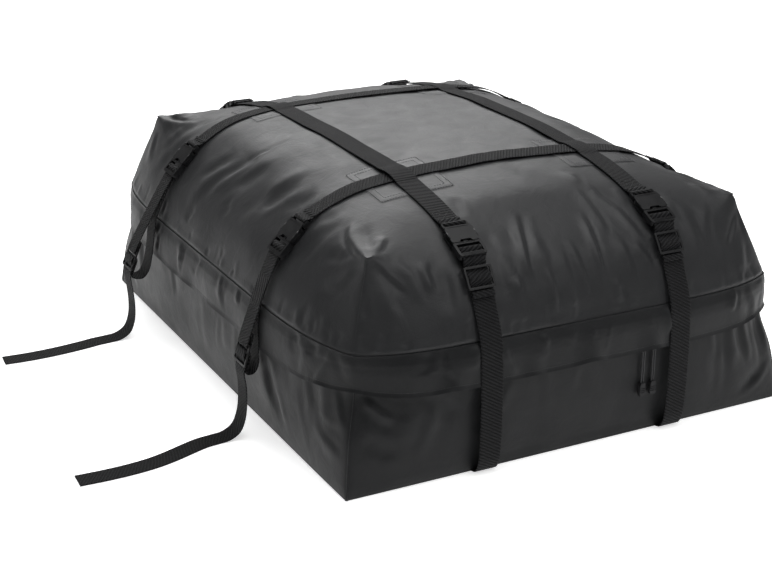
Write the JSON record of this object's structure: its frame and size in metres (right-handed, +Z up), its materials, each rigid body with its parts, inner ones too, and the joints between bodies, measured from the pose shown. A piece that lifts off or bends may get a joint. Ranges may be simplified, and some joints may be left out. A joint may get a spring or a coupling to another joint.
{
  "type": "soft cargo carrier bag",
  "caption": "Soft waterproof cargo bag for a hitch carrier or roof rack, with a zipped lid, storm flap, webbing straps and side-release buckles.",
  "frame": {"origin": "centre of the bag on the surface it stands on", "axes": "+Y from the front with the zip pulls to the rear along the long side, +X to the right seen from the front, +Z up"},
  "size_m": [1.295, 1.1558, 0.4321],
  "materials": {
    "tarpaulin": "satin coated tarpaulin, near black",
    "patch_fabric": "satin coated tarpaulin with double stitched border",
    "webbing": "matte woven webbing, black",
    "buckle_plastic": "satin moulded plastic, black",
    "zip_tape": "woven zip tape with coil teeth, black",
    "slider_metal": "black coated zip slider",
    "zip_pull": "braided cord with a moulded matte tip, black"
  },
  "bodies": {
    "tub": {"bottom_panel": "tarpaulin", "front_wall": "tarpaulin", "right_wall": "tarpaulin", "rear_wall": "tarpaulin", "left_wall": "tarpaulin", "zip_tape_lower": "zip_tape", "belt_left": "webbing", "belt_right": "webbing"},
    "lid_cover": {"lid": "tarpaulin", "zip_tape_upper": "zip_tape", "storm_flap": "tarpaulin", "patch_front_left": "patch_fabric", "patch_front_right": "patch_fabric", "patch_rear_left": "patch_fabric", "patch_rear_right": "patch_fabric", "long_strap_left": "webbing", "long_strap_right": "webbing", "cross_strap_front": "webbing", "cross_strap_rear": "webbing", "rear_strap_left": "webbing", "rear_strap_right": "webbing", "female_front_left": "buckle_plastic", "female_front_right": "buckle_plastic", "female_rear_left": "buckle_plastic", "female_rear_right": "buckle_plastic", "female_left_front": "buckle_plastic", "female_left_rear": "buckle_plastic", "female_right_front": "buckle_plastic", "female_right_rear": "buckle_plastic"},
    "clip_front_left": {"male_front_left": "buckle_plastic", "tri_glide_front_left": "buckle_plastic", "strap_end_front_left": "webbing"},
    "clip_front_right": {"male_front_right": "buckle_plastic", "tri_glide_front_right": "buckle_plastic", "strap_end_front_right": "webbing"},
    "clip_rear_left": {"male_rear_left": "buckle_plastic", "tri_glide_rear_left": "buckle_plastic", "strap_end_rear_left": "webbing"},
    "clip_rear_right": {"male_rear_right": "buckle_plastic", "tri_glide_rear_right": "buckle_plastic", "strap_end_rear_right": "webbing"},
    "clip_left_front": {"male_left_front": "buckle_plastic", "tri_glide_left_front": "buckle_plastic", "side_loop_left_front": "webbing", "tail_left_front": "webbing"},
    "clip_left_rear": {"male_left_rear": "buckle_plastic", "tri_glide_left_rear": "buckle_plastic", "side_loop_left_rear": "webbing", "tail_left_rear": "webbing"},
    "clip_right_front": {"male_right_front": "buckle_plastic", "tri_glide_right_front": "buckle_plastic", "side_loop_right_front": "webbing"},
    "clip_right_rear": {"male_right_rear": "buckle_plastic", "tri_glide_right_rear": "buckle_plastic", "side_loop_right_rear": "webbing"},
    "zip_runner_left": {"zip_slider_left": "slider_metal", "zip_pull_left": "zip_pull"},
    "zip_runner_right": {"zip_slider_right": "slider_metal", "zip_pull_right": "zip_pull"}
  },
  "joints": [
    {"name": "lid_open", "type": "hinge", "parent": "tub", "child": "lid_cover", "pos_m": [0, 0.578, 0.205], "axis": [-1, 0, 0], "range_deg": [0, 100]},
    {"name": "unclip_front_left", "type": "slide", "parent": "tub", "child": "clip_front_left", "axis": [0, -0.8942, -0.4478], "range_m": [0, 0.034]},
    {"name": "unclip_front_right", "type": "slide", "parent": "tub", "child": "clip_front_right", "axis": [0, -0.8942, -0.4478], "range_m": [0, 0.034]},
    {"name": "unclip_rear_left", "type": "slide", "parent": "lid_cover", "child": "clip_rear_left", "axis": [0, 0.8942, -0.4478], "range_m": [0, 0.034]},
    {"name": "unclip_rear_right", "type": "slide", "parent": "lid_cover", "child": "clip_rear_right", "axis": [0, 0.8942, -0.4478], "range_m": [0, 0.034]},
    {"name": "unclip_left_front", "type": "slide", "parent": "lid_cover", "child": "clip_left_front", "axis": [-0.7009, 0, -0.7132], "range_m": [0, 0.034]},
    {"name": "unclip_left_rear", "type": "slide", "parent": "lid_cover", "child": "clip_left_rear", "axis": [-0.7009, 0, -0.7132], "range_m": [0, 0.034]},
    {"name": "unclip_right_front", "type": "slide", "parent": "lid_cover", "child": "clip_right_front", "axis": [0.7009, 0, -0.7132], "range_m": [0, 0.034]},
    {"name": "unclip_right_rear", "type": "slide", "parent": "lid_cover", "child": "clip_right_rear", "axis": [0.7009, 0, -0.7132], "range_m": [0, 0.034]},
    {"name": "zip_slide_left", "type": "slide", "parent": "tub", "child": "zip_runner_left", "axis": [1, 0, 0], "range_m": [-0.317, 0]},
    {"name": "zip_slide_right", "type": "slide", "parent": "tub", "child": "zip_runner_right", "axis": [1, 0, 0], "range_m": [0, 0.06]}
  ]
}
